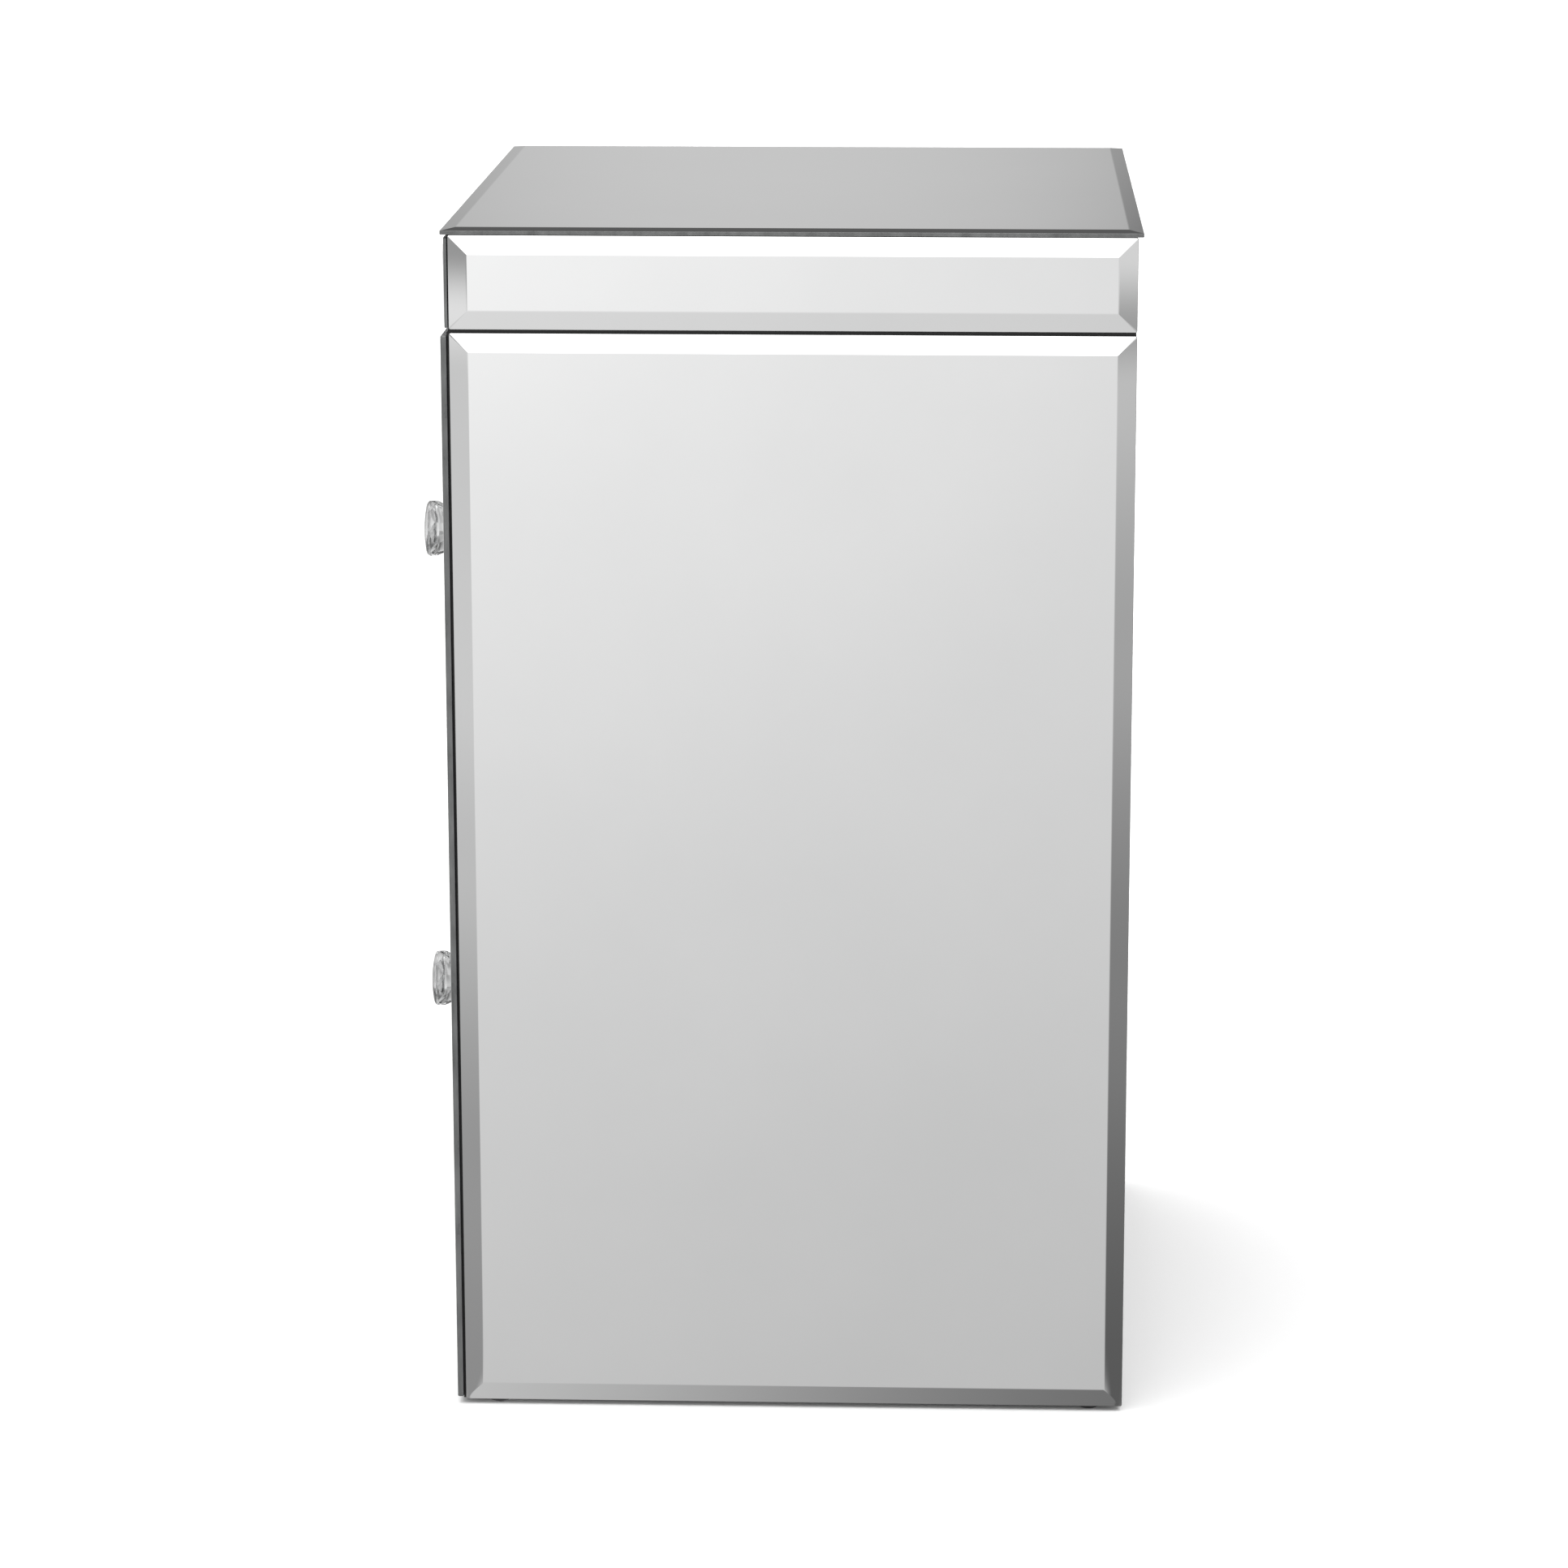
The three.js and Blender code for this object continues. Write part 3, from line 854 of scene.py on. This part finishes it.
def ground(name, half):
    verts = [(-half, -half, 0), (half, -half, 0), (half, half, 0), (-half, half, 0)]
    return add_mesh(name, verts, [(0, 1, 2, 3)], ())


def floor():
    made = ground("floor", 60)

    def nodes(g):
        mottle = g.noise(0.8, 2)
        return {"Base Color": g.tint(mottle, (0.87, 0.87, 0.87), (0.9, 0.9, 0.9))}

    made.data.materials.append(material("pale_floor", nodes, Roughness=0.9))


def straight_ahead(g, out, y):
    """The card's level in front of each side: mid grey at the cabinet's foot, paler further out, and
    slanting down towards +Y, a painted reflection of the floor's shade round the cabinet. The strip
    that the bottom bevels see is darker at its back end: a painted contact shadow at the foot."""
    fall = g.math("EXPONENT", g.math("MULTIPLY", out, -1 / FALLOFF))
    level = g.math("SUBTRACT", FAR_LEVEL, g.math("MULTIPLY", fall, FAR_LEVEL - FOOT_LEVEL))
    depth = g.math("ADD", g.math("MULTIPLY", y, 1 / SPAN), 0.5)
    levels = [(0, 0.9), (0.125, 0.95), (0.41, 1.14), (0.5, 1.0), (0.656, 0.78)]
    level = g.math("MULTIPLY", level, g.curve(depth, levels, 1.2, "LINEAR"))
    # Painted contact shadow: a strip right at the cabinet's foot, darker towards the back.
    foot = g.between(out, 1.0, 0.0, 0.018, 0.034)
    towards_back = g.between(y, 0.0, 0.68, -0.27, 0.24)
    return g.math("MULTIPLY", level, g.math("SUBTRACT", 1.0, g.math("MULTIPLY", foot, towards_back)))


def off_corner(g, out, y):
    """The card's level off the corners. It goes over from the front curve to the back one along y."""
    reach = g.math("DIVIDE", out, CORNER_REACH)
    front = [(0, 0.34), (0.07, 0.39), (0.2, 0.66), (0.3, 0.77), (0.63, 0.74), (0.72, 0.97), (0.84, 0.4)]
    back = [(0, 0.13), (0.15, 0.27), (0.35, 0.47), (0.63, 0.66), (0.72, 0.44), (0.85, 0.85)]
    front_level = g.curve(reach, front, 1.0)
    back_level = g.curve(reach, back, 1.0)
    share = g.between(y, 0.0, 1.0, -0.1, 0.2)
    change = g.math("MULTIPLY", g.math("SUBTRACT", back_level, front_level), share)
    return g.math("ADD", front_level, change)


def painted_reflection_card():
    """A low glowing card that shows only in mirrors and through glass, in place of the nearest floor.
    Its glow is a painted reflection of the floor's light and shade round the cabinet. Off the
    corners it is darker than in front of the sides, so that the bevels, which look that way, read
    against the flats."""
    made = ground("painted_reflection_card", 45)
    made.location.z = CARD_HEIGHT
    card = bpy.data.materials.new("painted_reflection_card")
    card.use_nodes = True
    g = Graph(card.node_tree)
    card.node_tree.nodes.remove(card.node_tree.nodes["Principled BSDF"])
    position = g.node("ShaderNodeNewGeometry").outputs["Position"]
    x, y = g.node("ShaderNodeSeparateXYZ", {0: position}).outputs[:2]
    across = g.math("SUBTRACT", g.math("ABSOLUTE", x), side_high.x)
    along = g.math("SUBTRACT", g.math("ABSOLUTE", g.math("SUBTRACT", y, BODY_Y)), BODY_HALF_Y)
    out = g.math("MAXIMUM", g.math("MAXIMUM", across, along), 0.0)
    past = g.math("ADD", g.math("MINIMUM", across, along), BEVEL_MARGIN)
    ahead = straight_ahead(g, out, y)
    aside = off_corner(g, out, y)
    # The corner zones lie between two slants from the corner and fade on both sides.
    slant = g.math("DIVIDE", past, g.math("ADD", out, 4 * MM))
    fade_in = g.between(slant, 0.0, 1.0, 0.12, 0.32)
    fade_out = g.between(slant, 1.0, 0.0, 0.45, 0.85)
    change = g.math("MULTIPLY", g.math("SUBTRACT", aside, ahead), g.math("MULTIPLY", fade_in, fade_out))
    # The glow is painted: the floor's light and shade as the mirrors would show it.
    glow = g.node("ShaderNodeEmission", {"Strength": g.math("ADD", ahead, change)})
    g.put(card.node_tree.nodes["Material Output"].inputs["Surface"], glow.outputs[0])
    made.data.materials.append(card)
    made.visible_camera = False
    made.visible_diffuse = False
    made.visible_shadow = False


def world():
    """A soft studio: a level that changes with the height, and lobes of light or shade on top of it."""
    made = bpy.data.worlds.new("studio")
    made.use_nodes = True
    bpy.context.scene.world = made
    g = Graph(made.node_tree)
    direction = g.node("ShaderNodeTexCoord").outputs["Generated"]
    unit = g.node("ShaderNodeVectorMath", {0: direction}, operation="NORMALIZE").outputs[0]
    height = g.node("ShaderNodeSeparateXYZ", {0: unit}).outputs[2]
    levels = [(0.0, 0.66), (0.12, 0.935), (0.3, 0.58), (0.6, 0.72), (0.8, 1.1), (0.97, 3.0)]
    total = g.curve(height, levels)

    def lobe(azimuth, elevation, spread, amount):
        """Azimuth 0 is +X and 90 is +Y, in degrees."""
        a, e = math.radians(azimuth), math.radians(elevation)
        centre = (math.cos(a) * math.cos(e), math.sin(a) * math.cos(e), math.sin(e))
        product = g.node("ShaderNodeVectorMath", {0: unit, 1: centre}, operation="DOT_PRODUCT")
        dot = product.outputs["Value"]
        tight = 1 / math.radians(spread) ** 2
        fall = g.math("EXPONENT", g.math("MULTIPLY", g.math("SUBTRACT", dot, 1.0), tight))
        return g.math("MULTIPLY", fall, amount)

    lobes = [
        (-3, 13, 14, 1.5),  # the soft light in front of the +X side
        (174, 26, 16, -0.7),  # the dark studio wall on the far side, which the top sees
        (172, 7, 3.1, -0.9),  # two dark flags, which the top's side bevels see
        (193, 7, 3.5, -0.85),
        (-80, 70, 22, 1.2),  # the key light
        (60, 40, 20, 0.7),  # the fill from the back right
    ]
    for values in lobes:
        total = g.math("ADD", total, lobe(*values))
    darkest = 0.12
    total = g.math("MAXIMUM", total, darkest)
    background = made.node_tree.nodes["Background"]
    background.inputs["Color"].default_value = (1, 1, 1, 1)
    g.put(background.inputs["Strength"], total)


floor()
painted_reflection_card()
world()
